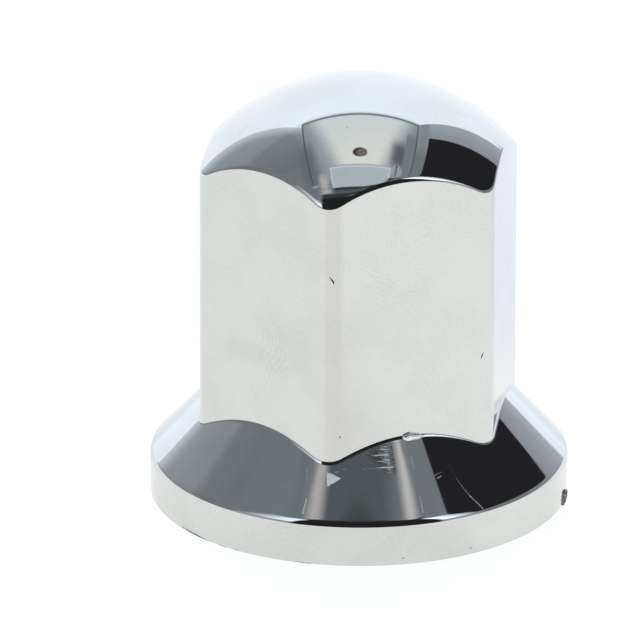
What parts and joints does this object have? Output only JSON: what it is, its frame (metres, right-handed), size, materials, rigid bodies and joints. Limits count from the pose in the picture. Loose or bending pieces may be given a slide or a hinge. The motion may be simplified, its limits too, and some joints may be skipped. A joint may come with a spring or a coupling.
{
  "type": "lug nut cover",
  "caption": "Push-on cover for a hexagonal wheel nut: a chrome-plated domed hexagonal cap on a flared round flange, open underneath, with grip ribs in its socket.",
  "frame": {"origin": "middle of the rim's underside, on the cover's axis", "axes": "+Z along the cover's axis from the open rim up to the dome; the hexagon's flats face -Y and +Y, and its corners point along -X and +X"},
  "size_m": [0.0546, 0.0546, 0.0554],
  "materials": {
    "chrome_plate": "bright mirror plating on moulded plastic"
  },
  "bodies": {
    "root": {"nut_cover": "chrome_plate"}
  },
  "joints": []
}
